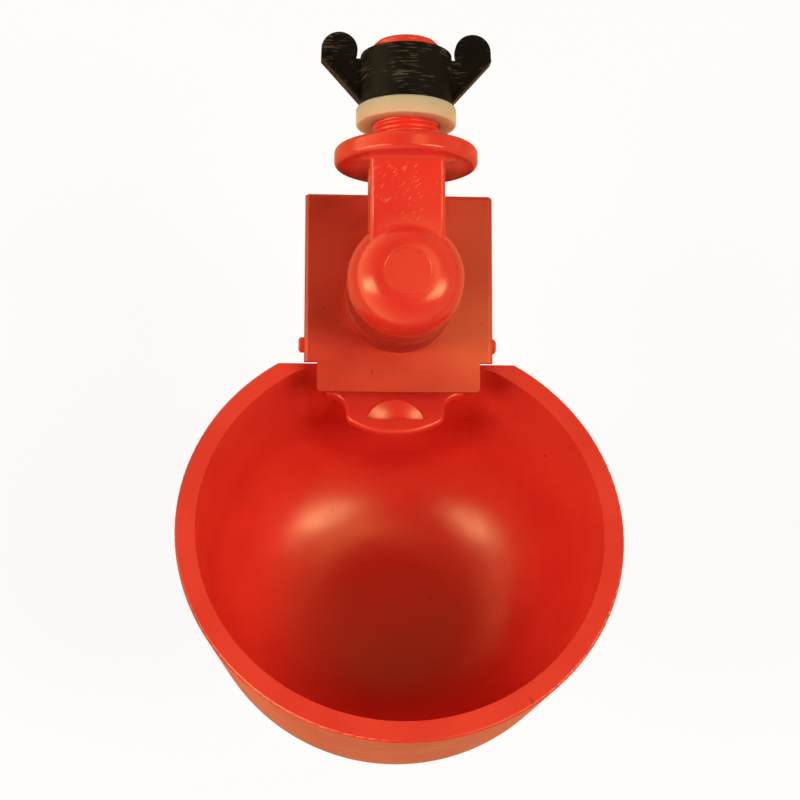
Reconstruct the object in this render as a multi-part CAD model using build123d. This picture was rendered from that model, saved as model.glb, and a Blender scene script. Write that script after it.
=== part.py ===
from build123d import *
from math import atan, cos, degrees, radians, sin, sqrt, tan
import os

os.makedirs("parts", exist_ok=True)

# Poultry drinking cup with a float-free valve. A hollow threaded stem goes through a tank wall and is
# clamped there by a wing nut. An elbow turns the water down into a hood, and a cup hangs in the hood on two
# stubs. Springs lift the empty cup and open the valve; the weight of the water lets the cup down until a
# rubber pad closes the nozzle.
#
# Frame: millimetres. The origin is on the stem's axis, in the wall side face of the flange. +Y runs along
# the stem, away from the cup, +Z is up and X runs across.

# Stem and flange
stem_dia = 12.0
stem_length = 19.4
stem_tip_chamfer = 0.5
water_bore_dia = 6.6
flange_dia = 25.6
flange_thickness = 3.3
flange_edge_radius = 0.9

# Arm between flange and knuckle
arm_length = 20.1
arm_width = 13.2
arm_height = 11.3
arm_edge_radius = 0.9

# Knuckle: the domed corner of the elbow, with a round socket below
knuckle_dia = 20.6
dome_height = 7.2
dome_edge_radius = 6.0
dome_mark_dia = 8.2
dome_mark_depth = 0.06
skirt_drop = 10.5
socket_dia = 16.5
socket_depth = 5.4
arm_blend_radius = 1.2

# Hood: plate, tab, boss, cheeks and nozzle
stem_above_plate = 19.5
plate_thickness = 1.8
plate_edge_radius = 0.9
plate_back_length = 20.3
plate_corner_radius = 0.9
tab_width = 31.0
tab_length = 5.7
tab_corner_radius = 0.8
boss_foot_dia = 21.0
boss_ring_count = 3
boss_ring_pitch = 1.5
boss_ring_depth = 0.18
spigot_clearance = 0.05
cheek_thickness = 2.2
cheek_depth = 14.0
cheek_back_depth = 12.0
cheek_front_slope = 4.5
back_wall_thickness = 1.8
nozzle_dia = 7.2
nozzle_length = 5.2
nozzle_hole_dia = 3.2
nozzle_lip_width = 0.9
spring_pin_dia = 3.0
spring_pin_length = 1.8

# Hinge: the axis about which the cup tilts, and how far the empty cup is lifted
hinge_below_plate_top = 5.0
hinge_ahead_of_boss = 8.4
hinge_ahead_of_notch = 3.8
stub_dia = 3.0
stub_running_clearance = 0.05
stub_reach = 1.1
stub_end_chamfer = 0.4
eye_radius = 3.2
rest_tilt = 24.5

# Cup bowl
rim_dia = 82.0
rim_width = 3.7
rim_edge_radius = 0.4
outer_depth = 46.3
outer_draft = 8.3
outer_corner_radius = 26.0
inner_draft = 4.0
inner_corner_radius = 23.5
floor_thickness = 2.3
flat_back_inset = 7.3
back_rim_thickness = 1.0
back_inner_draft = 3.0
back_blend_radius = 7.0

# Cup tray, behind the bowl
hinge_above_rim = 2.5
hinge_behind_back = 2.6
tray_clearance = 0.35
tray_wall = 1.8
tray_floor = 2.0
tray_length = 21.5
tray_wall_above_hinge = 2.5
tray_root_drop = 4.0
channel_drop = 8.5

# Water lip at the front of the channel
lip_width = 19.6
lip_front_radius = 16.1
lip_corner_radius = 2.4
lip_reach = 9.8
lip_root_radius = 3.5
lip_root_reach = 1.0
lip_edge_height = 1.6
lip_undercut_height = 4.0
lip_undercut_angle = 37.0
lip_step = 0.5
lip_edge_radius = 0.7
lip_dish_radius = 10.6
lip_dish_depth = 3.95
lip_dish_setback = 0.3
lip_pocket_dia = 12.2
lip_pocket_setback = 1.8
lip_land = 3.1

# Valve pad and its seat
pad_dia = 10.0
pad_thickness = 2.6
pad_socket_depth = 1.5
pad_socket_wall = 1.4
pad_fit = 0.05
pad_seat_gap = 0.05
pad_edge_radius = 0.3

# Lift springs
spring_mean_dia = 4.4
spring_wire_dia = 0.4
spring_turns = 6
spring_length = 9.0
spring_pad_gap = 2.8
spring_tray_gap = 1.05
spring_behind_hinge = 7.5
spring_seat_wall = 0.7

# Washer and wing nut
washer_dia = 17.9
washer_thickness = 3.1
washer_bore_clearance = 0.08
washer_edge_radius = 0.3
washer_gap = 4.3
nut_body_dia = 16.8
nut_tip_dia = 16.4
nut_length = 9.9
nut_bore_clearance = 0.05
nut_edge_radius = 0.35
wing_thickness = 2.4
lobe_radius = 3.25
lobe_offset = 12.0
lobe_beyond_body = 0.75
wing_corner_reach = 15.3
wing_corner_rise = 8.9
wing_foot_rise = 0.8
wing_root = 0.3
wing_top_drop = 1.0
wing_edge_radius = 0.4
wing_rib_width = 0.8
wing_rib_thickness = 3.4
wing_rib_edge_radius = 0.2

# Elbow seal
seal_thickness = 1.4
seal_side_gap = 0.2

# How far a cut runs past a face, or a root reaches into what it joins
overrun = 1.0

# Places and sizes that follow from the sizes above
knuckle_y = -(flange_thickness + arm_length)
hinge_y = knuckle_y - hinge_ahead_of_boss
plate_top_z = -stem_above_plate
plate_under_z = plate_top_z - plate_thickness
hinge_z = plate_top_z - hinge_below_plate_top
notch_y = hinge_y - hinge_ahead_of_notch
plate_back_y = knuckle_y + plate_back_length
washer_y = washer_gap
nut_y = washer_gap + washer_thickness
spigot_dia = socket_dia - 2 * spigot_clearance
spigot_top_z = -skirt_drop + socket_depth - seal_thickness
spring_outer_dia = spring_mean_dia + spring_wire_dia
spring_offset = pad_dia / 2 + spring_pad_gap + spring_outer_dia / 2
tray_inner_x = spring_offset + spring_outer_dia / 2 + spring_tray_gap
tray_outer_x = tray_inner_x + tray_wall
cheek_inner_x = tray_outer_x + tray_clearance
plate_width = 2 * (cheek_inner_x + cheek_thickness)
flat_back_reach = rim_dia / 2 - flat_back_inset
back_inner_y = flat_back_reach - back_rim_thickness
hinge_to_plate = plate_under_z - hinge_z
nozzle_tip_above_hinge = hinge_to_plate - nozzle_length


def pick(shape, *spots, tolerance=0.02):
    """Vertices of a sketch that lie at the given (x, y) spots."""
    return [v for v in shape.vertices() for x, y in spots
            if abs(v.X - x) < tolerance and abs(v.Y - y) < tolerance]


def turned(outline):
    """Solid turned about the Z axis from an outline in (radius, height)."""
    return revolve(Plane.XZ * outline, Axis.Z)


def turned_about_stem(outline):
    """Solid turned about the stem's axis from an outline in (radius, distance along +Y)."""
    return revolve(outline, Axis.Y)


def stem_and_flange():
    """Stem with its lead-in and the round flange at its root."""
    r = stem_dia / 2
    stem = make_face(Polyline((0, -flange_thickness), (r, -flange_thickness), (r, stem_length - stem_tip_chamfer),
                              (r - stem_tip_chamfer, stem_length), (0, stem_length), close=True))
    flange = Pos(flange_dia / 4, -flange_thickness / 2) * Rectangle(flange_dia / 2, flange_thickness)
    rounded = pick(flange, (flange_dia / 2, 0), (flange_dia / 2, -flange_thickness))
    flange = fillet(rounded, flange_edge_radius)
    return turned_about_stem(stem) + turned_about_stem(flange)


def knuckle():
    """Domed post of the elbow: flat top, large round shoulder, straight skirt."""
    r = knuckle_dia / 2
    outline = make_face(Polyline((0, -skirt_drop), (r, -skirt_drop), (r, dome_height), (0, dome_height), close=True))
    outline = fillet(pick(outline, (r, dome_height)), dome_edge_radius)
    post = turned(outline)
    mark = Pos(0, 0, dome_height) * Cylinder(dome_mark_dia / 2, 2 * dome_mark_depth)
    return Pos(0, knuckle_y, 0) * (post - mark)


def make_elbow():
    arm_run = arm_length + knuckle_dia / 4
    arm = Pos(0, -flange_thickness - arm_run / 2, 0) * Box(arm_width, arm_run, arm_height)
    arm = fillet(arm.edges().filter_by(Axis.Y), arm_edge_radius)
    post = knuckle()
    joined = post + arm
    shoulder = joined.edges().filter_by_position(
        Axis.Z, arm_height / 2 - 0.01, arm_height / 2 + 0.01).filter_by_position(
        Axis.Y, knuckle_y + knuckle_dia / 4, knuckle_y + knuckle_dia / 2 + 0.5)
    shoulder = [e for e in shoulder if e.geom_type != GeomType.LINE]
    joined = fillet(shoulder, arm_blend_radius)
    body = joined + stem_and_flange()
    along = Pos(0, (stem_length + knuckle_y) / 2, 0) * Rot(90, 0, 0) * Cylinder(
        water_bore_dia / 2, stem_length - knuckle_y)
    down = Pos(0, knuckle_y, -skirt_drop / 2) * Cylinder(water_bore_dia / 2, skirt_drop)
    turn = Pos(0, knuckle_y, 0) * Sphere(water_bore_dia / 2)
    socket = Pos(0, knuckle_y, -skirt_drop + socket_depth / 2) * Cylinder(socket_dia / 2, socket_depth)
    return body - along - down - turn - socket


def make_elbow_seal():
    ring = Cylinder(socket_dia / 2 - seal_side_gap, seal_thickness) - Cylinder(water_bore_dia / 2, seal_thickness)
    return Pos(0, knuckle_y, spigot_top_z + seal_thickness / 2) * ring


def hood_plate():
    """Plate over the tray, with the narrower tab that reaches over the bowl."""
    length = plate_back_y - notch_y
    plate = Pos(0, notch_y + length / 2) * Rectangle(plate_width, length)
    tab = Pos(0, notch_y + (overrun - tab_length) / 2) * Rectangle(tab_width, tab_length + overrun)
    outline = plate + tab
    back = [(s * plate_width / 2, plate_back_y) for s in (-1, 1)]
    front = [(s * tab_width / 2, notch_y - tab_length) for s in (-1, 1)]
    outline = fillet(pick(outline, *back), plate_corner_radius)
    outline = fillet(pick(outline, *front), tab_corner_radius)
    solid = Pos(0, 0, plate_under_z) * extrude(outline, plate_thickness)
    long_edges = [e for e in solid.edges().filter_by(Axis.Y)
                  if abs(abs(e.center().X) - plate_width / 2) < 0.01 and e.center().Z > plate_top_z - 0.01]
    return fillet(long_edges, plate_edge_radius)


def hood_boss():
    """Round boss on the plate with fine rings, and the spigot that fills the elbow's socket."""
    foot = boss_foot_dia / 2
    head = knuckle_dia / 2
    head_z = -skirt_drop
    points = [(0, plate_top_z - plate_thickness / 2), (foot, plate_top_z - plate_thickness / 2), (foot, plate_top_z)]
    ring_z = [head_z - (k + 1) * boss_ring_pitch for k in range(boss_ring_count)][::-1]
    for z in ring_z:
        share = (z - plate_top_z) / (head_z - plate_top_z)
        r = foot + (head - foot) * share
        points += [(r, z - boss_ring_depth), (r - boss_ring_depth, z), (r, z + boss_ring_depth)]
    points += [(head, head_z), (spigot_dia / 2, head_z), (spigot_dia / 2, spigot_top_z), (0, spigot_top_z)]
    outline = make_face(Polyline(*points, close=True))
    return Pos(0, knuckle_y, 0) * turned(outline)


def hood_cheeks():
    """The two cheeks: a round eye about the hinge in front, deeper and square behind."""
    bottom = hinge_z - (cheek_depth - hinge_below_plate_top)
    rear_bottom = hinge_z - (cheek_back_depth - hinge_below_plate_top)
    eye = Pos(hinge_y, hinge_z) * Circle(eye_radius)
    web = make_face(Polyline((hinge_y - eye_radius, plate_under_z), (hinge_y - eye_radius, hinge_z),
                             (hinge_y, hinge_z - eye_radius),
                             (hinge_y + cheek_front_slope, bottom), (knuckle_y + spring_offset, bottom),
                             (plate_back_y, rear_bottom), (plate_back_y, plate_under_z), close=True))
    outline = Plane.YZ * (web + eye)
    one = extrude(outline, cheek_thickness)
    return Pos(cheek_inner_x, 0, 0) * one + Pos(-cheek_inner_x - cheek_thickness, 0, 0) * one


def make_hood():
    rear_bottom = hinge_z - (cheek_back_depth - hinge_below_plate_top)
    rear_height = plate_under_z - rear_bottom
    back_wall = Pos(0, plate_back_y - back_wall_thickness / 2, rear_bottom + rear_height / 2) * Box(
        plate_width, back_wall_thickness, rear_height)
    shell = hood_plate() + hood_cheeks() + back_wall
    body = shell + hood_boss()
    nozzle_tip_z = hinge_z + nozzle_tip_above_hinge
    tip_r = nozzle_hole_dia / 2 + nozzle_lip_width
    nozzle_outline = make_face(Polyline(
        (0, plate_under_z + plate_thickness / 2), (nozzle_dia / 2, plate_under_z + plate_thickness / 2),
        (nozzle_dia / 2, nozzle_tip_z + (nozzle_dia / 2 - tip_r)), (tip_r, nozzle_tip_z), (0, nozzle_tip_z),
        close=True))
    body += Pos(0, knuckle_y, 0) * turned(nozzle_outline)
    for side in (-1, 1):
        body += Pos(side * spring_offset, hinge_y + spring_behind_hinge, plate_under_z - spring_pin_length / 2) * \
            Cylinder(spring_pin_dia / 2, spring_pin_length)
    shaft_top = spigot_top_z - plate_under_z
    body -= Pos(0, knuckle_y, plate_under_z + shaft_top / 2) * Cylinder(water_bore_dia / 2, shaft_top)
    body -= Pos(0, knuckle_y, nozzle_tip_z + nozzle_length / 2) * Cylinder(
        nozzle_hole_dia / 2, nozzle_length + overrun)
    hole_r = stub_dia / 2 + stub_running_clearance
    body -= Pos(0, hinge_y, hinge_z) * Rot(0, 90, 0) * Cylinder(hole_r, plate_width + 2 * overrun)
    return body


def bowl_outline(top_r, draft, depth, corner_radius):
    """Half section of a drafted bowl with a large round corner, rim at height 0."""
    foot_r = top_r - depth * tan(radians(draft))
    outline = make_face(Polyline((0, 0), (top_r, 0), (foot_r, -depth), (0, -depth), close=True))
    return fillet(pick(outline, (foot_r, -depth)), corner_radius)


def bowl_hollow():
    """Inside of the bowl: round, with a drafted flat back, blended all round where the two meet."""
    inner = bowl_outline(rim_dia / 2 - rim_width, inner_draft, outer_depth - floor_thickness, inner_corner_radius)
    room = 2 * rim_dia
    ahead = Pos(0, back_inner_y, 0) * Rot(-back_inner_draft, 0, 0) * Pos(0, -room / 2, 0) * Box(room, room, 2 * room)
    hollow = turned(inner) & ahead
    flat = hollow.faces().filter_by(GeomType.PLANE).sort_by(Axis.Y)[-1]
    seam = [e for e in flat.edges() if e.geom_type != GeomType.LINE]
    return fillet(seam, back_blend_radius)


def bowl():
    """Bowl with its flat back, standing on the rim's centre with the rim at height 0."""
    outer = bowl_outline(rim_dia / 2, outer_draft, outer_depth, outer_corner_radius)
    outer = fillet(pick(outer, (rim_dia / 2, 0)), rim_edge_radius)
    room = 2 * rim_dia
    ahead_of_back = Pos(0, flat_back_reach - room / 2, 0) * Box(room, room, room)
    return (turned(outer) & ahead_of_back) - bowl_hollow()


def water_lip():
    """Ledge in front of the channel: front edge a shallow arc, root flared to the channel's width, undercut."""
    front_y = back_inner_y - lip_reach
    wall_y = flat_back_reach - back_rim_thickness / 2
    flare_y = back_inner_y - lip_root_reach
    back_y = wall_y + lip_undercut_height
    top_z = -channel_drop + lip_step
    arc = Pos(0, front_y + lip_front_radius) * Circle(lip_front_radius)
    strip = Pos(0, (front_y + back_y) / 2) * Rectangle(lip_width, back_y - front_y)
    corner_y = front_y + lip_front_radius - sqrt(lip_front_radius ** 2 - (lip_width / 2) ** 2)
    outline = arc & strip
    outline = fillet(pick(outline, (-lip_width / 2, corner_y), (lip_width / 2, corner_y)), lip_corner_radius)
    outline += Pos(0, (flare_y + back_y) / 2) * Rectangle(2 * tray_inner_x, back_y - flare_y)
    outline = fillet(pick(outline, (-lip_width / 2, flare_y), (lip_width / 2, flare_y)), lip_root_radius)
    ledge = Pos(0, 0, top_z - lip_edge_height) * extrude(outline, lip_edge_height)
    free = [e for e in ledge.edges().group_by(Axis.Z)[-1] if e.center().Y < flare_y + overrun / 2
            and abs(e.center().X) < tray_inner_x - overrun]
    ledge = fillet(free, lip_edge_radius)
    below = Pos(0, 0, top_z - lip_edge_height) * extrude(outline, -lip_undercut_height, taper=lip_undercut_angle)
    room = 4 * tray_inner_x
    return (ledge + below) & Pos(0, wall_y - room / 2, 0) * Box(room, room, room)


def lip_dish():
    """Pocket in the lip's top with a floor like a dish: straight in front, round at the back."""
    top_z = -channel_drop + lip_step
    front_y = back_inner_y - lip_reach
    ball = Pos(0, front_y + lip_dish_setback, top_z + lip_dish_radius - lip_dish_depth) * Sphere(lip_dish_radius)
    behind_land = Pos(0, lip_land + lip_pocket_dia / 2 - lip_pocket_setback) * Rectangle(lip_pocket_dia, lip_pocket_dia)
    outline = Circle(lip_pocket_dia / 2) & behind_land
    room = 2 * lip_dish_depth
    return ball & Pos(0, front_y + lip_pocket_setback, top_z - room / 2) * extrude(outline, room)


def tray_side(reach_z, front_y, back_y):
    """Side outline of the tray in the hinge's frame: round about the hinge, level top, flat floor."""
    eye = Circle(tray_wall_above_hinge)
    web = make_face(Polyline((front_y, reach_z), (back_y, reach_z), (back_y, tray_wall_above_hinge),
                             (0, tray_wall_above_hinge), (0, 0), (front_y, -hinge_above_rim - tray_root_drop),
                             close=True))
    return web + eye


def tray():
    """Tray behind the bowl, hollow and open above, in the hinge's frame."""
    floor_z = -hinge_above_rim - channel_drop
    front_y = -hinge_behind_back - back_rim_thickness / 2
    side = Plane.YZ * tray_side(floor_z - tray_floor, front_y, tray_length)
    block = Pos(-tray_outer_x, 0, 0) * extrude(side, 2 * tray_outer_x)
    hollow_back = tray_length - tray_wall
    hollow_length = hollow_back - front_y + lip_reach / 2
    hollow_height = tray_wall_above_hinge - floor_z + overrun
    hollow = Pos(0, hollow_back - hollow_length / 2, floor_z + hollow_height / 2) * Box(
        2 * tray_inner_x, hollow_length, hollow_height)
    return block, hollow


def spring_seats():
    """Two posts in the tray whose tops are level while the cup is lifted, each with a locating pin."""
    floor_z = -hinge_above_rim - channel_drop
    seat_r = spring_outer_dia / 2 + spring_seat_wall
    seat_z = hinge_to_plate - spring_length
    seats = None
    for side in (-1, 1):
        tall = Pos(side * spring_offset, spring_behind_hinge, seat_z - tray_length / 2) * Cylinder(
            seat_r, tray_length)
        pin = Pos(side * spring_offset, spring_behind_hinge, seat_z + spring_pin_length / 2) * Cylinder(
            spring_pin_dia / 2, spring_pin_length)
        both = Rot(rest_tilt, 0, 0) * (tall + pin)
        seats = both if seats is None else seats + both
    room = 4 * tray_length
    above_floor = Pos(0, 0, floor_z - tray_floor / 2 + room / 2) * Box(room, room, room)
    return seats & above_floor


def pad_socket():
    """Post in the tray with a shallow round socket for the rubber pad."""
    floor_z = -hinge_above_rim - channel_drop
    pad_top = nozzle_tip_above_hinge - pad_seat_gap
    socket_floor = pad_top - pad_thickness
    post_top = socket_floor + pad_socket_depth
    post_r = pad_dia / 2 + pad_fit + pad_socket_wall
    height = post_top - floor_z + tray_floor / 2
    post = Pos(0, hinge_ahead_of_boss, post_top - height / 2) * Cylinder(post_r, height)
    hollow = Pos(0, hinge_ahead_of_boss, socket_floor + pad_socket_depth) * Cylinder(
        pad_dia / 2 + pad_fit, 2 * pad_socket_depth)
    return post, hollow


def lifted(shape):
    """Takes a shape from the hinge's frame, cup level, to its place with the empty cup lifted."""
    return Pos(0, hinge_y, hinge_z) * Rot(-rest_tilt, 0, 0) * shape


def make_cup():
    to_hinge = Pos(0, -flat_back_reach - hinge_behind_back, -hinge_above_rim)
    body = to_hinge * bowl()
    block, hollow = tray()
    body += block
    body -= hollow
    body += to_hinge * water_lip()
    body -= to_hinge * lip_dish()
    post, post_hollow = pad_socket()
    body = body + post - post_hollow
    body += spring_seats()
    stub_tip = plate_width / 2 + stub_reach
    for side in (-1, 1):
        length = stub_tip - tray_inner_x - tray_wall / 2
        stub = Rot(0, 90, 0) * Cylinder(stub_dia / 2, length)
        stub = chamfer(stub.edges().group_by(Axis.X)[-1], stub_end_chamfer)
        stub = Pos(tray_inner_x + tray_wall / 2 + length / 2, 0, 0) * stub
        body += stub if side > 0 else mirror(stub, Plane.YZ)
    return lifted(body)


def make_valve_pad():
    pad_top = nozzle_tip_above_hinge - pad_seat_gap
    pad = Cylinder(pad_dia / 2, pad_thickness)
    pad = fillet(pad.edges().group_by(Axis.Z)[-1], pad_edge_radius)
    return lifted(Pos(0, hinge_ahead_of_boss, pad_top - pad_thickness / 2) * pad)


def make_lift_springs():
    """Two coil springs, standing between the hood's plate and the seats of the lifted cup."""
    rise = spring_length - spring_wire_dia
    path = Helix(rise / spring_turns, rise, spring_mean_dia / 2)
    start = Plane(origin=path @ 0, z_dir=path % 0)
    coil = sweep(start * Circle(spring_wire_dia / 2), path=path, is_frenet=True)
    foot_z = plate_under_z - spring_length + spring_wire_dia / 2
    springs = [Pos(side * spring_offset, hinge_y + spring_behind_hinge, foot_z) * coil for side in (-1, 1)]
    return Compound(children=springs)


def make_washer():
    bore_r = stem_dia / 2 + washer_bore_clearance
    ring = Cylinder(washer_dia / 2, washer_thickness) - Cylinder(bore_r, washer_thickness)
    ring = fillet(ring.edges().filter_by(GeomType.CIRCLE).sort_by(lambda e: e.radius)[-2:], washer_edge_radius)
    return Pos(0, washer_y + washer_thickness / 2, 0) * Rot(90, 0, 0) * ring


def wing_outline(side):
    """One wing in the plane of the stem: slanted underside, upright outer edge, round lobe."""
    lobe_y = nut_length + lobe_beyond_body
    web = make_face(Polyline((0, wing_foot_rise), (nut_body_dia / 2 - wing_root, wing_foot_rise),
                             (wing_corner_reach, wing_corner_rise), (lobe_offset + lobe_radius, lobe_y),
                             (lobe_offset, lobe_y), (lobe_offset - lobe_radius, nut_length - wing_top_drop),
                             (0, nut_length - wing_top_drop), close=True))
    outline = web + Pos(lobe_offset, lobe_y) * Circle(lobe_radius)
    return outline if side > 0 else mirror(outline, Plane.YZ)


def wing_rib(side):
    """Thicker strip along the wing's slanted underside."""
    start = Vector(nut_body_dia / 2 - wing_root, wing_foot_rise)
    end = Vector(wing_corner_reach, wing_corner_rise)
    run = (end - start).normalized()
    inward = Vector(-run.Y, run.X) * wing_rib_width
    strip = make_face(Polyline(start, end, end + inward, start + inward, close=True))
    rib = Pos(0, 0, -wing_rib_thickness / 2) * extrude(strip, wing_rib_thickness)
    long_edges = [e for e in rib.edges() if e.length > wing_corner_reach - nut_body_dia / 2]
    rib = fillet(long_edges, wing_rib_edge_radius)
    return rib if side > 0 else mirror(rib, Plane.YZ)


def make_wing_nut():
    foot_r = nut_body_dia / 2
    tip_r = nut_tip_dia / 2
    outline = make_face(Polyline((0, 0), (foot_r, 0), (tip_r, nut_length), (0, nut_length), close=True))
    outline = fillet(pick(outline, (foot_r, 0), (tip_r, nut_length)), nut_edge_radius)
    body = turned_about_stem(outline)
    for side in (-1, 1):
        wing = Pos(0, 0, -wing_thickness / 2) * extrude(wing_outline(side), wing_thickness)
        flat_edges = [e for e in wing.edges() if abs(abs(e.center().Z) - wing_thickness / 2) < 0.01
                      and abs(e.center().X) > foot_r + wing_root]
        wing = fillet(flat_edges, wing_edge_radius)
        body += wing
        body += wing_rib(side)
    bore = Pos(0, nut_length / 2, 0) * Rot(90, 0, 0) * Cylinder(
        stem_dia / 2 + nut_bore_clearance, nut_length + 4 * lobe_radius)
    return Pos(0, nut_y, 0) * (body - bore)


pieces = {
    "elbow": make_elbow,
    "elbow_seal": make_elbow_seal,
    "hood": make_hood,
    "cup": make_cup,
    "valve_pad": make_valve_pad,
    "lift_springs": make_lift_springs,
    "washer": make_washer,
    "wing_nut": make_wing_nut,
}

for name, make in pieces.items():
    export_step(make(), f"parts/{name}.step")
    print(name, "written")
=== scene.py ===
# %% [markdown]
# # Poultry drinking cup
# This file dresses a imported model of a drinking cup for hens. The model already has every solid at its real
# size. Here it gets its surfaces: glossy red plastic, a scuffed black wing nut, a milky washer, the thread
# on the stem, springs with closed ends, and the fine line that a mould leaves. Each cell does one thing and
# prints what it made.

# %% Load the frame
import math
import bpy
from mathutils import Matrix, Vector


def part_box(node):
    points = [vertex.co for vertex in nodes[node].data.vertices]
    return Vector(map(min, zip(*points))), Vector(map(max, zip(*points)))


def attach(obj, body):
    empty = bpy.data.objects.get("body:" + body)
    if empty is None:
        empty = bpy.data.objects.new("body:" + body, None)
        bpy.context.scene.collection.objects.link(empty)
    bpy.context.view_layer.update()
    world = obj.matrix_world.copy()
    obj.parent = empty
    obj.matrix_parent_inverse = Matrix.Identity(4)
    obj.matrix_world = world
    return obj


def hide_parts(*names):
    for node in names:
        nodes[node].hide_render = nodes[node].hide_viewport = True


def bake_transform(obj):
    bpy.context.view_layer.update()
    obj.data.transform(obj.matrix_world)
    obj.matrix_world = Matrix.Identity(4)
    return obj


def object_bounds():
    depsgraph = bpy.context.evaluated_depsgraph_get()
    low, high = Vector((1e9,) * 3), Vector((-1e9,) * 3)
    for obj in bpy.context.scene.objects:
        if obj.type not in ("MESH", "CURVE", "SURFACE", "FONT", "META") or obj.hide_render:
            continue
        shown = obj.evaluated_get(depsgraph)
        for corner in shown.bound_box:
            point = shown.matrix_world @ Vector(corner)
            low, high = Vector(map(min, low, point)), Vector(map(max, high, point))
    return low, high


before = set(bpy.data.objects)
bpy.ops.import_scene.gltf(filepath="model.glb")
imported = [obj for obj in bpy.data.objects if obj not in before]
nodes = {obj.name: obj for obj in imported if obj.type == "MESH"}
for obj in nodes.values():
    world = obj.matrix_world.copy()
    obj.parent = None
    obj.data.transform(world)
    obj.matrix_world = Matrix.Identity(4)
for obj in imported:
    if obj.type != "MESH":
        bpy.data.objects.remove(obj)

from types import SimpleNamespace

import bmesh
import bpy
import numpy as np
from mathutils import Euler, Matrix, Vector

MM = 0.001
Y, Z = 1, 2        # the number of an axis, and of its part of a vector
cad_low, cad_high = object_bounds()


def in_mm(corner):
    """A corner in millimetres, for printing."""
    return [round(v / MM, 1) for v in corner]


print("model, mm:", in_mm(cad_low), "to", in_mm(cad_high))

# %% [markdown]
# ## The camera
# The photograph looks almost straight down on the cup, from about 25 centimetres above it and a little to
# the left. The camera's place is given in millimetres in the model's own frame. Its turn starts from a
# camera that looks down with the stem pointing up in the picture, and adds three small angles.

# %% Camera
CAMERA_PLACE = Vector((-16.0, -70.8, 243.7)) * MM
CAMERA_TURN = Euler([math.radians(a) for a in (6.06, -3.51, 0.49)], "ZYX")
LENS = 63.0
SENSOR_WIDTH = 36.0
NEAREST = 5.0 * MM

camera_data = bpy.data.cameras.new("camera")
camera_data.lens = LENS
camera_data.sensor_width = SENSOR_WIDTH
camera_data.clip_start = NEAREST
camera = bpy.data.objects.new("camera", camera_data)
camera.matrix_world = Matrix.Translation(CAMERA_PLACE) @ CAMERA_TURN.to_matrix().to_4x4()
bpy.context.scene.collection.objects.link(camera)
bpy.context.scene.camera = camera
bpy.context.scene.view_settings.view_transform = "Standard"
print("camera at, mm:", in_mm(CAMERA_PLACE), "lens", LENS)

# %% [markdown]
# ## Lamps
# Two tall soft lamps stand left and right, as the two long highlights on the dome and the two crescents in
# the bowl show. They are area lamps, because a small lamp would give hard points of light. A weak, warm
# card nearly overhead is mirrored in the flat plate, and gives its right side a tan sheen.

# %% Lamps
AIM = Vector((0.0, -45.0, -20.0)) * MM
LAMP_COLOUR = (1.0, 0.85, 0.66)
CARD_COLOUR = (1.0, 0.76, 0.40)
LAMPS = (       # name, degrees across, degrees along, distance m, width m, height m, watts, colour
    ("lamp_left", -50, -7, 0.75, 0.20, 0.52, 3.2, LAMP_COLOUR),
    ("lamp_right", 37, -7, 0.75, 0.20, 0.42, 2.9, LAMP_COLOUR),
    ("card_overhead", 17, 17, 0.60, 0.20, 0.24, 0.34, CARD_COLOUR))


def soft_lamp(name, across, along, distance, width, height, watts, colour):
    """A rectangle lamp that looks at AIM, from the direction (tan across, tan along, 1)."""
    back = Vector((math.tan(math.radians(across)), math.tan(math.radians(along)), 1.0)).normalized()
    turn = back.to_track_quat("Z", "Y").to_matrix().to_4x4()
    data = bpy.data.lights.new(name, "AREA")
    data.shape = "RECTANGLE"
    data.size, data.size_y = width, height
    data.energy = watts
    data.color = colour
    lamp = bpy.data.objects.new(name, data)
    lamp.matrix_world = Matrix.Translation(AIM + back * distance) @ turn
    bpy.context.scene.collection.objects.link(lamp)


for row in LAMPS:
    soft_lamp(*row)

# %% [markdown]
# ## Writing node trees
# A material or a world is a tree of nodes. Built by hand in the editor it can't be read in a file, so it is
# written out here, with a few helpers. One finds a socket by its name, one adds a node and fills its
# sockets, and one links two nodes.

# %% Node helpers
MIX_FIRST, MIX_SECOND, MIX_RESULT = 6, 7, 2        # the colour sockets of a Mix node


def socket(node, name):
    """The input of a node by its name."""
    return next(s for s in node.inputs if s.name == name and s.enabled)


def add_node(tree, kind, **settings):
    """Adds a node. A setting whose name is a property is set on the node, and any other on its socket."""
    node = tree.nodes.new(kind)
    for name, value in settings.items():
        if hasattr(node, name):
            setattr(node, name, value)
        else:
            socket(node, name.replace("_", " ")).default_value = value
    return node


def link(tree, source, target, out=0):
    """Links an output of the source node, by its number or name, to a socket."""
    tree.links.new(source.outputs[out], target)


print("node helpers: a Mix node gives its colour at output", MIX_RESULT)

# %% [markdown]
# ## The nodes that are used most
# Math multiplies two values or takes the larger one, Map Range brings a value from one range to another, and
# Mix Shader blends two finishes or lights. Written out each time they would hide what a finish does, so
# each gets one line of its own.

# %% Node shorthands
def maths(tree, operation, first, second=None, out=0, out_second=0):
    """A Math node on one source or two."""
    node = add_node(tree, "ShaderNodeMath", operation=operation)
    link(tree, first, node.inputs[0], out=out)
    if second is not None:
        link(tree, second, node.inputs[1], out=out_second)
    return node


def mapped(tree, source, start, end, low, high, out=0, shape="LINEAR"):
    """Maps a value from start..end to low..high, and holds it at the ends."""
    node = add_node(tree, "ShaderNodeMapRange", interpolation_type=shape, From_Min=start, From_Max=end,
                    To_Min=low, To_Max=high)
    link(tree, source, socket(node, "Value"), out=out)
    return node


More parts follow.
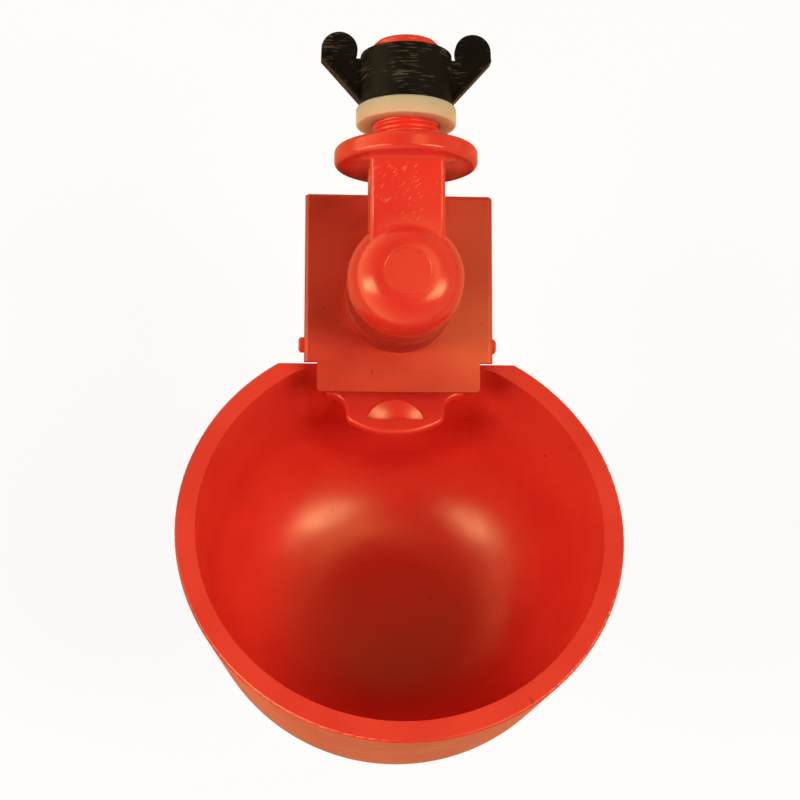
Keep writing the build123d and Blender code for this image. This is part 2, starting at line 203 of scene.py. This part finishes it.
def mixed(tree, share, first, second, out=0):
    """A shader that goes from the first to the second with the share, a node or a number."""
    node = add_node(tree, "ShaderNodeMixShader")
    if isinstance(share, float):
        node.inputs[0].default_value = share
    else:
        link(tree, share, node.inputs[0], out=out)
    link(tree, first, node.inputs[1])
    link(tree, second, node.inputs[2])
    return node


def grey(value):
    """A colour with three equal parts."""
    return (value, value, value, 1.0)


print("middle grey:", grey(0.5))

# %% [markdown]
# ## The room
# The world gives the rest of the light, in two parts. Glossy rays see a warm room that is bright low down
# and on the left and nearly black overhead, so that the floor of the bowl mirrors a dark ceiling. Every
# other ray sees a nearly white fill, also strongest low down, and stronger from both sides. A plain white
# room would be easier, but the bowl would shine white in its middle. Only the camera sees pure white.

# %% World
HORIZON = 0.10              # upward part of a direction, from which the room starts to get darker
CEILING_SHARE = 0.02        # what is left of a light overhead
ROOM_COLOUR = (0.95, 0.70, 0.42, 1.0)
ROOM_LEVEL, ROOM_DARK_FROM = 1.0, 0.95        # from this upward part on, only the ceiling's share is left
ROOM_LEFT, ROOM_RIGHT = (-0.8, 3.4), (0.2, 0.8)        # sideways part of a direction, and its factor
FILL_COLOUR = (1.0, 0.93, 0.84, 1.0)
FILL_LEVEL, FILL_DARK_FROM = 0.72, 0.62
FILL_MIDDLE, FILL_SIDES = (0.0, 0.85), (1.0, 1.30)


def room_light(tree, up, sideways, colour, level, dark_from, first, last):
    """A background: its level falls from the horizon to the ceiling, times a factor that goes with a
    sideways measure from the first pair (measure, factor) to the last."""
    by_height = mapped(tree, up, HORIZON, dark_from, level, level * CEILING_SHARE, out=Z)
    by_side = mapped(tree, sideways, first[0], last[0], first[1], last[1])
    light = add_node(tree, "ShaderNodeBackground", Color=colour)
    link(tree, maths(tree, "MULTIPLY", by_height, by_side), socket(light, "Strength"))
    return light


world = bpy.data.worlds.new("world")
world.use_nodes = True
bpy.context.scene.world = world
tree = world.node_tree
tree.nodes.clear()
rays = add_node(tree, "ShaderNodeLightPath")
mirrored = maths(tree, "MAXIMUM", rays, rays, "Is Glossy Ray", "Is Transmission Ray")
split = add_node(tree, "ShaderNodeSeparateXYZ")
link(tree, add_node(tree, "ShaderNodeTexCoord"), split.inputs[0])
room = room_light(tree, split, split, ROOM_COLOUR, ROOM_LEVEL, ROOM_DARK_FROM, ROOM_LEFT, ROOM_RIGHT)
fill = room_light(tree, split, maths(tree, "ABSOLUTE", split), FILL_COLOUR, FILL_LEVEL, FILL_DARK_FROM,
                  FILL_MIDDLE, FILL_SIDES)
backdrop = add_node(tree, "ShaderNodeBackground", Color=grey(1.0), Strength=1.0)
lights = mixed(tree, mirrored, fill, room)
seen = mixed(tree, rays, lights, backdrop, out="Is Camera Ray")
link(tree, seen, add_node(tree, "ShaderNodeOutputWorld").inputs[0])
print("world: mirrors see a room of", ROOM_LEVEL, "and the fill is", FILL_LEVEL)

# %% [markdown]
# ## The floor
# A sheet of paper lies below the cup. To the camera it is pale and mostly glows, so that it stays white but
# keeps the cup's soft shadow. To light that bounces it is cream, which puts the warm tone on the outside of
# the cup. A white floor for both would leave that wall pink. The floor belongs to the stage.

# %% Floor
FLOOR_DROP = 60.0 * MM
FLOOR_SIZE = 6.0
PAPER_GREY = 0.86
PAPER_GLOW = 1.05
GLOW_SHARE = 0.84
PAPER_CREAM = (0.86, 0.58, 0.32, 1.0)

floor_z = cad_low.z - FLOOR_DROP
half = FLOOR_SIZE / 2
floor_mesh = bpy.data.meshes.new("floor")
floor_mesh.from_pydata([(-half, -half, floor_z), (half, -half, floor_z), (half, half, floor_z),
                        (-half, half, floor_z)], [], [(0, 1, 2, 3)])
floor = bpy.data.objects.new("floor", floor_mesh)
bpy.context.scene.collection.objects.link(floor)

paper = bpy.data.materials.new("paper")
paper.use_nodes = True
tree = paper.node_tree
tree.nodes.clear()
rays = add_node(tree, "ShaderNodeLightPath")
matt = add_node(tree, "ShaderNodeBsdfDiffuse", Color=grey(PAPER_GREY))
glow = add_node(tree, "ShaderNodeEmission", Color=grey(1.0), Strength=PAPER_GLOW)
cream = add_node(tree, "ShaderNodeBsdfDiffuse", Color=PAPER_CREAM)
sheet = mixed(tree, rays, cream, mixed(tree, GLOW_SHARE, matt, glow), out="Is Camera Ray")
link(tree, sheet, add_node(tree, "ShaderNodeOutputMaterial").inputs[0])
floor_mesh.materials.append(paper)
print("floor at z, mm:", round(floor_z / MM, 1))

# %% [markdown]
# ## Noise and bumps
# Real surfaces are never even. Noise textures on the object's own coordinates bring that unevenness, at a
# scale given in features for each metre. Each noise is mapped to the range that is wanted with a smooth
# curve, because a straight one starts so suddenly that thin contour lines show in a gloss.

# %% Noise helpers
NOISE_LOW, NOISE_HIGH = 0.25, 0.75
PLAIN, RICH = 1.0, 2.0        # detail of a noise: how many finer layers it has


def noise(tree, place, scale, detail, roughness=0.5, out="Object"):
    """Noise on a place, with scale in features for each metre."""
    node = add_node(tree, "ShaderNodeTexNoise", Scale=scale, Detail=detail, Roughness=roughness)
    link(tree, place, socket(node, "Vector"), out=out)
    return node


def ranged(tree, source, low, high, start=NOISE_LOW, end=NOISE_HIGH, out=0):
    """Maps a value from start..end to low..high on a smooth curve."""
    return mapped(tree, source, start, end, low, high, out=out, shape="SMOOTHSTEP")


def bumped(tree, source, distance, under=None):
    """A bump of a height in metres, laid over another bump if one is given."""
    node = add_node(tree, "ShaderNodeBump", Strength=1.0, Distance=distance)
    link(tree, source, socket(node, "Height"))
    if under is not None:
        link(tree, under, socket(node, "Normal"))
    return node


print("nearly all of a noise lies between", NOISE_LOW, "and", NOISE_HIGH)

# %% [markdown]
# ## Moulded plastic
# The cup, the hood and the elbow are moulded in the same glossy red. Up close it isn't one flat colour: the
# pigment is a little uneven, the gloss changes where the mould was polished less, and the skin has a very
# shallow orange peel. An image of plastic would repeat and blur, so one function makes the finish from
# noise, with a few numbers for each piece. The nut, washer, rubber and springs start from it too.

# %% Plastic finish
PATCH_SCALE = 70.0        # colour
CLOUD_SCALE = 147.0       # gloss
PEEL_SCALE, PEEL_HEIGHT = 380.0, 0.003 * MM
WAVE_SCALE = 90.0
PLASTIC_IOR = 1.49
PLASTIC_SHINE = 0.68
GLOSS_TINT = (1.0, 0.80, 0.46, 1.0)


def plastic(name, dark, light, gloss, shine=PLASTIC_SHINE, tint=GLOSS_TINT, waves=0.0):
    """Moulded plastic: two close colours mixed in soft patches, roughness that varies, orange peel, and slow
    waves of a height in metres that make the highlights uneven."""
    material = bpy.data.materials.new(name)
    material.use_nodes = True
    tree = material.node_tree
    shader = tree.nodes["Principled BSDF"]
    place = add_node(tree, "ShaderNodeTexCoord")
    colour = add_node(tree, "ShaderNodeMix", data_type="RGBA")
    link(tree, ranged(tree, noise(tree, place, PATCH_SCALE, RICH), 0.0, 1.0), colour.inputs[0])
    colour.inputs[MIX_FIRST].default_value = (*dark, 1.0)
    colour.inputs[MIX_SECOND].default_value = (*light, 1.0)
    link(tree, colour, socket(shader, "Base Color"), out=MIX_RESULT)
    rough = ranged(tree, noise(tree, place, CLOUD_SCALE, RICH), *gloss)
    link(tree, rough, socket(shader, "Roughness"))
    bump = bumped(tree, noise(tree, place, PEEL_SCALE, PLAIN), PEEL_HEIGHT)
    if waves:
        bump = bumped(tree, noise(tree, place, WAVE_SCALE, PLAIN), waves, under=bump)
    link(tree, bump, socket(shader, "Normal"))
    socket(shader, "IOR").default_value = PLASTIC_IOR
    socket(shader, "Specular IOR Level").default_value = shine
    socket(shader, "Specular Tint").default_value = tint
    return SimpleNamespace(material=material, tree=tree, shader=shader, place=place, colour=colour,
                           bump=bump)


def dress(name, finish):
    """Gives a CAD node its material."""
    thing = nodes[name]
    thing.data.materials.clear()
    thing.data.materials.append(finish.material)
    print(name, "wears", finish.material.name)


# %% [markdown]
# ## Marks on the plastic
# Specks, smears and worn spots are tones laid over the first colour where a mask says so. A mask could be
# painted by hand, but then it would be an image. Here it is worked out. Noise that is cut off at a high
# value leaves sparse spots, and the same noise drawn out in one direction leaves strokes.

# %% Masks of noise
STROKE_ROUGHNESS = 0.4


def cut(finish, source, start, end, most=1.0):
    """Mask from a noise or another mask, on a smooth curve from nothing at start to most at end."""
    return ranged(finish.tree, source, 0.0, most, start, end)


def spots(finish, scale, detail, start, end, most=1.0):
    """Mask of spots: noise that is cut off."""
    return cut(finish, noise(finish.tree, finish.place, scale, detail), start, end, most)


def stretched(finish, along, across, turn_degrees=0.0):
    """Noise drawn out into strokes: its scale along Y and its scale across it differ, both in features for
    each metre. The turn is about Z."""
    mapping = add_node(finish.tree, "ShaderNodeMapping", vector_type="TEXTURE")
    link(finish.tree, finish.place, socket(mapping, "Vector"), out="Object")
    socket(mapping, "Rotation").default_value = (0.0, 0.0, math.radians(turn_degrees))
    socket(mapping, "Scale").default_value = (1 / across, 1 / along, 1 / across)
    return noise(finish.tree, mapping, 1.0, RICH, STROKE_ROUGHNESS, out=0)


print("strokes come from noise of roughness", STROKE_ROUGHNESS)

# %% [markdown]
# ## Marks in their place
# Dirt and wear lie where hands and boxes reach. So a mask of noise is multiplied by a mask of place: either
# all that lies between two heights, or all within a distance of a point. Both fade at their edge, because a
# hard edge looks like a sticker. A last helper lays the tone on.

# %% Masks of place, and tones
def both(finish, first, second):
    """Product of two masks."""
    return maths(finish.tree, "MULTIPLY", first, second)


def between(finish, axis, low, high, soft):
    """Mask that is 1 between two places along an axis and fades over a soft edge outside them."""
    split = add_node(finish.tree, "ShaderNodeSeparateXYZ")
    link(finish.tree, finish.place, split.inputs[0], out="Object")
    rise = mapped(finish.tree, split, low - soft, low, 0.0, 1.0, out=axis)
    fall = mapped(finish.tree, split, high, high + soft, 1.0, 0.0, out=axis)
    return both(finish, rise, fall)


def around(finish, centre, inner, outer):
    """Mask that is 1 within the inner distance of a point and fades to 0 at the outer one."""
    away = add_node(finish.tree, "ShaderNodeVectorMath", operation="DISTANCE")
    link(finish.tree, finish.place, away.inputs[0], out="Object")
    away.inputs[1].default_value = centre
    return ranged(finish.tree, away, 1.0, 0.0, inner, outer, out="Value")


def over(finish, mask, tone):
    """Lays a tone over the colour so far where the mask is 1."""
    mix = add_node(finish.tree, "ShaderNodeMix", data_type="RGBA")
    link(finish.tree, mask, mix.inputs[0])
    link(finish.tree, finish.colour, mix.inputs[MIX_FIRST], out=MIX_RESULT)
    mix.inputs[MIX_SECOND].default_value = (*tone, 1.0)
    link(finish.tree, mix, socket(finish.shader, "Base Color"), out=MIX_RESULT)
    finish.colour = mix


print("tones go over colour socket", MIX_FIRST, "from socket", MIX_SECOND)

# %% [markdown]
# ## The cup's red
# The cup shines strongly, but a little softer than the elbow. Slow waves in its skin make the two crescents
# in the bowl uneven, as they are on a moulding that shrank a little as it cooled. The floor of the bowl is
# dark in the photograph. Most of that is the mirrored ceiling, and a painted shade, a deeper red round the
# middle of the floor, does the rest. A few small specks are dirt in the pigment.

# %% Cup finish
RED_DARK = (0.80, 0.037, 0.025)
RED_LIGHT = (0.88, 0.050, 0.031)
# Painted shade: the next red is laid round the middle of the bowl's floor.
BOWL_SHADE_RED = (0.50, 0.026, 0.016)
CUP_GLOSS = (0.285, 0.35)
CUP_SHINE = 0.86
CUP_WAVES = 0.015 * MM
BOWL_MIDDLE = Vector((2.0, -88.0, -52.0)) * MM
SHADE_INNER, SHADE_OUTER = 10.0 * MM, 34.0 * MM
SPECK_BROWN = (0.22, 0.02, 0.01)
CUP_SPECKS = dict(scale=300.0, detail=PLAIN, start=0.775, end=0.82, most=0.8)

cup_red = plastic("cup_red", RED_DARK, RED_LIGHT, CUP_GLOSS, shine=CUP_SHINE, waves=CUP_WAVES)
# Painted shade: a deeper red round the middle of the bowl's floor.
over(cup_red, around(cup_red, BOWL_MIDDLE, SHADE_INNER, SHADE_OUTER), BOWL_SHADE_RED)
over(cup_red, spots(cup_red, **CUP_SPECKS), SPECK_BROWN)
dress("cup", cup_red)

# %% [markdown]
# ## The hood's red
# The hood is a little darker and duller than the cup. Its flat plate has faint dark smears that lean to one
# side, tiny specks, and a paler right side that is a painted sheen. The masks keep all three to the top of
# the plate. The boss above the plate is a darker red of painted shade, in line with the painted shade on the
# skirt of the elbow that stands on it.

# %% Hood finish
HOOD_REDS = (0.60, 0.038, 0.021), (0.68, 0.050, 0.027)
HOOD_GLOSS = (0.29, 0.42)
PLATE_TOP, PLATE_SOFT = (-19.7 * MM, -19.0 * MM), 0.2 * MM
SMEAR_RED = (0.42, 0.028, 0.014)
SMEARS = dict(along=130.0, across=420.0, turn_degrees=-55.0)
SMEAR_CUT = dict(start=0.58, end=0.74, most=0.35)
# Painted sheen: the next red and its place make the plate's right side paler.
SHEEN_RED = (0.78, 0.105, 0.045)
SHEEN_SPOT = Vector((16.5, -31.0, -19.0)) * MM
SHEEN_INNER, SHEEN_OUTER = 2.0 * MM, 15.0 * MM
SHEEN_CUT = dict(start=0.0, end=1.0, most=0.8)
PLATE_SPECKS = dict(scale=520.0, detail=PLAIN, start=0.73, end=0.78, most=0.8)
# Painted shade: the next red darkens the boss under the dome, and the elbow's skirt.
SKIRT_SHADE_RED = (0.42, 0.021, 0.013)
BOSS_SHADE_BAND, BOSS_SHADE_SOFT = (-18.7 * MM, -10.0 * MM), 0.3 * MM

hood_red = plastic("hood_red", *HOOD_REDS, HOOD_GLOSS)
on_plate = between(hood_red, Z, *PLATE_TOP, PLATE_SOFT)
smears = cut(hood_red, stretched(hood_red, **SMEARS), **SMEAR_CUT)
over(hood_red, both(hood_red, smears, on_plate), SMEAR_RED)
# Painted sheen: a paler patch on the right side of the plate.
painted_sheen = cut(hood_red, around(hood_red, SHEEN_SPOT, SHEEN_INNER, SHEEN_OUTER), **SHEEN_CUT)
over(hood_red, both(hood_red, painted_sheen, on_plate), SHEEN_RED)
over(hood_red, both(hood_red, spots(hood_red, **PLATE_SPECKS), on_plate), SPECK_BROWN)
# Painted shade: a darker red on the boss under the dome.
over(hood_red, between(hood_red, Z, *BOSS_SHADE_BAND, BOSS_SHADE_SOFT), SKIRT_SHADE_RED)
dress("hood", hood_red)

# %% [markdown]
# ## Scratches on the elbow
# The flat top of the elbow's arm was rubbed in packing: it has short, fine, pale strokes that lean to one
# side. They come from noise that is stretched and turned, cut off at a high value so that only sparse
# strokes stay, and kept to the top of the arm by its height and its place along the stem. Below the dome
# the elbow's skirt gets the boss's darker red, a painted shade, which fades in where the dome ends.

# %% Elbow finish
ELBOW_GLOSS = (0.20, 0.262)
RUBBED_RED = (0.86, 0.20, 0.12)
SCRATCHES = dict(along=620.0, across=3000.0, turn_degrees=-42.0)
SCRATCH_CUT = dict(start=0.60, end=0.68, most=0.8)
RUBBED_PATCHES = dict(scale=260.0, detail=RICH, start=0.44, end=0.56)
ARM_LENGTHWISE, ARM_END_SOFT = (-13.5 * MM, -4.0 * MM), 1.0 * MM
ARM_TOP, ARM_TOP_SOFT = (5.5 * MM, 7.0 * MM), 0.4 * MM
SKIRT_SHADE_BAND, SKIRT_SHADE_SOFT = (-22.0 * MM, -3.5 * MM), 4.5 * MM

elbow_red = plastic("elbow_red", RED_DARK, RED_LIGHT, ELBOW_GLOSS)
scratches = cut(elbow_red, stretched(elbow_red, **SCRATCHES), **SCRATCH_CUT)
rubbed = both(elbow_red, scratches, spots(elbow_red, **RUBBED_PATCHES))
on_arm = both(elbow_red, between(elbow_red, Y, *ARM_LENGTHWISE, ARM_END_SOFT),
              between(elbow_red, Z, *ARM_TOP, ARM_TOP_SOFT))
over(elbow_red, both(elbow_red, rubbed, on_arm), RUBBED_RED)
# Painted shade: a darker red on the skirt below the dome.
over(elbow_red, between(elbow_red, Z, *SKIRT_SHADE_BAND, SKIRT_SHADE_SOFT), SKIRT_SHADE_RED)
dress("elbow", elbow_red)

# %% [markdown]
# ## The wing nut's black
# The wing nut is black plastic with a matt skin. Handling has drawn pale brown streaks round its body, and
# fine grooves run with them. Both come from one noise that is long across the stem and short along it, so
# that the streaks lie on the ridges between the grooves, where a hand rubs first.

# %% Wing nut finish
NUT_BLACKS = (0.003, 0.0028, 0.0022), (0.006, 0.0055, 0.0042)
NUT_GLOSS = (0.40, 0.50)
NUT_SHINE = 0.09
NUT_TINT = (1.0, 0.92, 0.78, 1.0)
GROOVES = dict(along=3600.0, across=420.0)
GROOVE_HEIGHT = 0.07 * MM
STREAK_BROWN = (0.10, 0.078, 0.052)
STREAK_CUT = dict(start=0.54, end=0.65, most=0.7)
WORN_PATCHES = dict(scale=210.0, detail=RICH, start=0.44, end=0.58)

nut_black = plastic("nut_black", *NUT_BLACKS, NUT_GLOSS, shine=NUT_SHINE, tint=NUT_TINT)
grooves = stretched(nut_black, **GROOVES)
link(nut_black.tree, bumped(nut_black.tree, grooves, GROOVE_HEIGHT, under=nut_black.bump),
     socket(nut_black.shader, "Normal"))
streaks = both(nut_black, cut(nut_black, grooves, **STREAK_CUT), spots(nut_black, **WORN_PATCHES))
over(nut_black, streaks, STREAK_BROWN)
dress("wing_nut", nut_black)

# %% [markdown]
# ## Washer, rubber and steel
# The washer is soft and slightly see-through: light enters it and comes out a few millimetres further on.
# Subsurface scattering shows this, and goes deeper for red light than for blue, which warms the edges. The
# seal and the pad are plain dark rubber, and the springs are drawn steel wire, bright and metallic.

# %% Washer, rubber and steel finishes
WASHER_CREAMS = (0.78, 0.57, 0.37), (0.83, 0.62, 0.41)
WASHER_GLOSS = (0.38, 0.48)
LIGHT_DEPTH = 6.0 * MM
DEPTH_BY_COLOUR = (1.0, 0.7, 0.45)
RUBBER_BLACKS = (0.02, 0.02, 0.02), (0.03, 0.03, 0.03)
RUBBER_GLOSS = (0.6, 0.7)
STEEL_GREYS = (0.6, 0.6, 0.6), (0.7, 0.7, 0.7)
STEEL_GLOSS = (0.20, 0.26)

milky = plastic("milky_washer", *WASHER_CREAMS, WASHER_GLOSS)
socket(milky.shader, "Subsurface Weight").default_value = 1.0
socket(milky.shader, "Subsurface Radius").default_value = DEPTH_BY_COLOUR
socket(milky.shader, "Subsurface Scale").default_value = LIGHT_DEPTH
dress("washer", milky)

rubber = plastic("dark_rubber", *RUBBER_BLACKS, RUBBER_GLOSS)
dress("valve_pad", rubber)
dress("elbow_seal", rubber)

steel = plastic("bright_steel", *STEEL_GREYS, STEEL_GLOSS, tint=grey(1.0))
socket(steel.shader, "Metallic").default_value = 1.0
dress("lift_springs", steel)

# %% [markdown]
# ## Surfaces from arrays
# Every new piece below is a grid of points that numpy works out as whole arrays. One helper turns such a
# grid into a mesh. A grid that closes on itself, such as a tube, joins its last column to its first. A
# second helper merges doubled points and turns all faces outward, so that a formula's direction of travel
# can't leave a piece inside out.

# %% Mesh helpers
DOUBLES = 0.0005 * MM


def surface(name, points):
    """Mesh of a grid of points (rows, columns, 3) whose last column joins its first. Each face spans two
    rows and two columns."""
    rows, columns = points.shape[:2]
    index = np.arange(rows * columns).reshape(rows, columns)
    index = np.hstack([index, index[:, :1]])
    corners = [index[:-1, :-1], index[:-1, 1:], index[1:, 1:], index[1:, :-1]]
    quads = np.stack(corners, axis=-1).reshape(-1, 4)
    mesh = bpy.data.meshes.new(name)
    mesh.from_pydata(points.reshape(-1, 3).tolist(), [], quads.tolist())
    return mesh


def tidied(mesh, sharp_degrees):
    """Merges doubled points, turns every face outward, and shades smooth up to an edge angle."""
    work = bmesh.new()
    work.from_mesh(mesh)
    bmesh.ops.remove_doubles(work, verts=work.verts, dist=DOUBLES)
    bmesh.ops.recalc_face_normals(work, faces=work.faces)
    work.to_mesh(mesh)
    work.free()
    mesh.shade_smooth()
    mesh.set_sharp_from_angle(angle=math.radians(sharp_degrees))
    return mesh


def placed(name, mesh, finish):
    """An object for a finished mesh, at the origin, with its material and slot."""
    thing = bpy.data.objects.new(name, mesh)
    bpy.context.scene.collection.objects.link(thing)
    mesh.materials.clear()
    mesh.materials.append(finish.material)
    print(name, "faces", len(mesh.polygons))
    return thing


# %% [markdown]
# ## Threaded stem
# The real stem carries a coarse right-hand thread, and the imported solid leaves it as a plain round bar. A
# boolean with a swept ridge could cut it, but leaves ragged faces. Here the thread is a formula: the radius
# of a point depends on its angle and its place along the stem.

# %% Thread formula
PITCH = 1.5 * MM
CREST = 6.0 * MM
GROOVE = 0.36 * MM
FLANK_POWER = 1.5
BORE = 3.3 * MM
STEM_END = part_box("elbow")[1].y
THREAD_START = 0.5 * MM
THREAD_END = STEM_END - 0.5 * PITCH
TIP_BEVEL = 0.6 * MM
COLUMNS = 144
ROWS_PER_PITCH = 14
BORE_ROWS = 12


def thread_radius(turn, along):
    """Crest radius less the groove. The groove's share is a wave of the phase, raised to FLANK_POWER, and
    the phase climbs one pitch in each turn. The groove fades over a pitch at both ends, and the tip is
    bevelled."""
    phase = (along / PITCH - turn / (2 * np.pi)) % 1.0
    flank = (0.5 - 0.5 * np.cos(2 * np.pi * phase)) ** FLANK_POWER
    fade_in = np.clip((along - THREAD_START) / PITCH, 0.0, 1.0)
    fade_out = np.clip((THREAD_END - along) / PITCH, 0.0, 1.0)
    bevel = np.clip(along - (STEM_END - TIP_BEVEL), 0.0, None)
    return np.minimum(CREST - GROOVE * fade_in * fade_out * flank, CREST - bevel)


def stem_grid():
    """Rings from the flange to the tip on the outside, over the end face, and back inside the bore. A point
    is (radius sin turn, along, radius cos turn)."""
    turn = np.linspace(0, 2 * np.pi, COLUMNS, endpoint=False)
    rows = int((STEM_END - THREAD_START) / PITCH * ROWS_PER_PITCH)
    along = np.linspace(THREAD_START, STEM_END, rows)[:, None] + 0 * turn
    radius = thread_radius(turn[None, :], along)
    back = np.linspace(STEM_END, THREAD_START, BORE_ROWS)[:, None] + 0 * turn
    along = np.vstack([along, back])
    radius = np.vstack([radius, np.full(back.shape, BORE)])
    return np.stack([radius * np.sin(turn), along, radius * np.cos(turn)], axis=-1)


stem_mesh = surface("stem", stem_grid())
print("stem faces", len(stem_mesh.polygons), "end at, mm:", round(STEM_END / MM, 1))

# %% [markdown]
# ## Joining the stem to the elbow
# A stem that is only pushed over the old one would show two skins. So the elbow's own mesh is copied,
# merged, cut just outside the flange, and joined to the new stem by two bands of faces, one outside and one
# in the bore. Normals weighted by face area then keep its flat faces flat beside their rounded edges.

# %% Elbow with its thread
CUT = 0.3 * MM
CAD_DOUBLES = 0.001 * MM
ON_CUT = 0.0001 * MM
ELBOW_SHARP = 30.0


def flats_kept(thing):
    """Bakes normals that are weighted by face area, so that a flat face stays flat beside a rounded edge."""
    thing.modifiers.new("flats", "WEIGHTED_NORMAL").keep_sharp = True
    depsgraph = bpy.context.evaluated_depsgraph_get()
    thing.data = bpy.data.meshes.new_from_object(thing.evaluated_get(depsgraph))
    thing.modifiers.clear()


work = bmesh.new()
work.from_mesh(nodes["elbow"].data)
bmesh.ops.remove_doubles(work, verts=work.verts, dist=CAD_DOUBLES)
bmesh.ops.bisect_plane(work, geom=work.verts[:] + work.edges[:] + work.faces[:], dist=ON_CUT,
                       plane_co=(0, CUT, 0), plane_no=(0, 1, 0), clear_outer=True)
work.from_mesh(stem_mesh)
edge_rings = {"outside": [], "bore": []}
for edge in work.edges:
    if edge.is_boundary:
        middle = (edge.verts[0].co + edge.verts[1].co) / 2
        is_outside = math.hypot(middle.x, middle.z) > (CREST + BORE) / 2
        edge_rings["outside" if is_outside else "bore"].append(edge)
for ring in edge_rings.values():
    bmesh.ops.bridge_loops(work, edges=ring)
elbow_mesh = bpy.data.meshes.new("elbow_threaded")
work.to_mesh(elbow_mesh)
print("open edges left:", sum(e.is_boundary for e in work.edges))
work.free()

elbow_piece = placed("elbow_threaded", tidied(elbow_mesh, ELBOW_SHARP), elbow_red)
flats_kept(elbow_piece)
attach(elbow_piece, "root")
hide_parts("elbow")

# %% [markdown]
# ## Tubes along a path
# A moulding's raised line and a spring's wire are both a circle carried along a path. A curve object with a
# bevel would do the same, but its circle can twist on the way. Here each point of the path says which way
# is outward, so the circle never turns by itself.

# %% Tube
def tube(path, outward, radius, sides):
    """Round tube along a path: at each point, radius times a circle in the plane of outward and of the
    direction square to both outward and the path. The radius is nothing at both ends, which closes them."""
    along = np.gradient(path, axis=0)
    along /= np.linalg.norm(along, axis=1, keepdims=True)
    across = np.cross(along, outward)
    across /= np.linalg.norm(across, axis=1, keepdims=True)
    facing = np.cross(across, along)
    turn = np.linspace(0, 2 * np.pi, sides, endpoint=False)
    size = np.full(len(path), radius)
    size[[0, -1]] = 0.0
    circle = np.cos(turn)[None, :, None] * facing[:, None] + np.sin(turn)[None, :, None] * across[:, None]
    return path[:, None] + size[:, None, None] * circle


print("a tube's circle starts at its outward side")

# %% [markdown]
# ## Parting line
# Where the two halves of the mould met, the elbow keeps a hair-thin raised line. It runs round the dome at
# its widest and along both sides of the arm. A bump map would vanish at a grazing angle, so it is a real
# bead: a thin tube along the outline of the elbow at the stem's height, half sunk into the surface.

# %% Parting line
BEAD = 0.09 * MM        # radius
BEAD_SIDES = 8
BEAD_SHARP = 80.0
ARM_HALF = 6.6 * MM
ARM_STEPS = 23
DOME_R = 10.3 * MM
DOME_Y = -23.4 * MM
DOME_STEPS = 120
FLANGE_BACK = -3.3 * MM


def elbow_outline():
    """The outline at the stem's height, with its outward directions: a straight run from the flange along
    the left side of the arm, the dome's circle from the left corner round the front to the right one, and
    the same run mirrored."""
    corner = math.atan2(math.sqrt(DOME_R ** 2 - ARM_HALF ** 2), ARM_HALF)
    sweep = np.linspace(np.pi - corner, 2 * np.pi + corner, DOME_STEPS)
    arc_out = np.stack([np.cos(sweep), np.sin(sweep), 0 * sweep], axis=1)
    arc = np.array([0.0, DOME_Y, 0.0]) + DOME_R * arc_out
    share = np.linspace(0, 1, ARM_STEPS + 1)[:-1, None]
    left = np.array([-ARM_HALF, FLANGE_BACK + BEAD, 0.0]) * (1 - share) + arc[0] * share
    left_out = np.tile([-1.0, 0.0, 0.0], (len(share), 1))
    path = np.vstack([left, arc, left[::-1] * [-1, 1, 1]])
    return path, np.vstack([left_out, arc_out, -left_out])


bead_mesh = tidied(surface("parting_line", tube(*elbow_outline(), BEAD, BEAD_SIDES)), BEAD_SHARP)
bead = placed("parting_line", bead_mesh, elbow_red)
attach(bead, "root")

# %% [markdown]
# ## Winding a spring
# Two small compression springs stand between the hood and the tray. Blender's screw modifier could wind
# them, but a formula also gives the closed end turns of a real spring, where the pitch drops to the wire's
# own thickness.

# %% Spring formula
WIRE = 0.2 * MM         # radius of the wire
COIL = 2.2 * MM         # radius of the coil, to the middle of the wire
TURNS = 7.5
END_TURNS = 0.85
OPENING_TURNS = 0.5
STEPS_PER_TURN = 64


def wire_height(turns, space):
    """Height of the wire's middle at each turn. One turn climbs by the wire's thickness in the closed ends,
    and in between by a pitch that fills the space. The height is the running sum of the climb."""
    from_end = np.minimum(turns, TURNS - turns)
    opening = np.clip((from_end - END_TURNS) / OPENING_TURNS, 0.0, 1.0)
    climb = 2 * WIRE + opening * (space - 2 * WIRE * TURNS) / opening.mean() / TURNS
    height = np.concatenate([[0.0], np.cumsum((climb[1:] + climb[:-1]) / 2 * np.diff(turns))])
    return height * (space / height[-1])


def coil(centre_x, centre_y, bottom, space):
    """The wire's path, a circle of radius COIL that climbs, and its outward directions."""
    turns = np.linspace(0, TURNS, int(TURNS * STEPS_PER_TURN))
    angle = 2 * np.pi * turns
    out = np.stack([np.cos(angle), np.sin(angle), 0 * angle], axis=1)
    path = np.stack([centre_x + COIL * np.cos(angle), centre_y + COIL * np.sin(angle),
                     bottom + wire_height(turns, space)], axis=1)
    return path, out


print("a spring has", TURNS, "turns of wire, mm:", round(2 * WIRE / MM, 2))

# %% [markdown]
# ## Lift springs
# The lower end of each spring stands on the cup and tilts with it, and the upper end stays under the hood.
# A stiff spring on either body would pull out of the other as the cup comes down. Here each one is wound
# once, where the model's springs stand, and takes their place.

# %% Lift springs
WIRE_SIDES = 10
WIRE_SHARP = 60.0

low_corner, high_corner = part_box("lift_springs")
coil_x = high_corner.x - COIL - WIRE
coil_y = (low_corner.y + high_corner.y) / 2
space = (high_corner.z - low_corner.z) - 2 * WIRE
for side, word in ((-1, "left"), (1, "right")):
    path, out = coil(side * coil_x, coil_y, low_corner.z + WIRE, space)
    spring_mesh = tidied(surface("spring", tube(path, out, WIRE, WIRE_SIDES)), WIRE_SHARP)
    spring = placed("spring_" + word, spring_mesh, steel)
    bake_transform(spring)
    if side < 0:
        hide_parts("lift_springs")
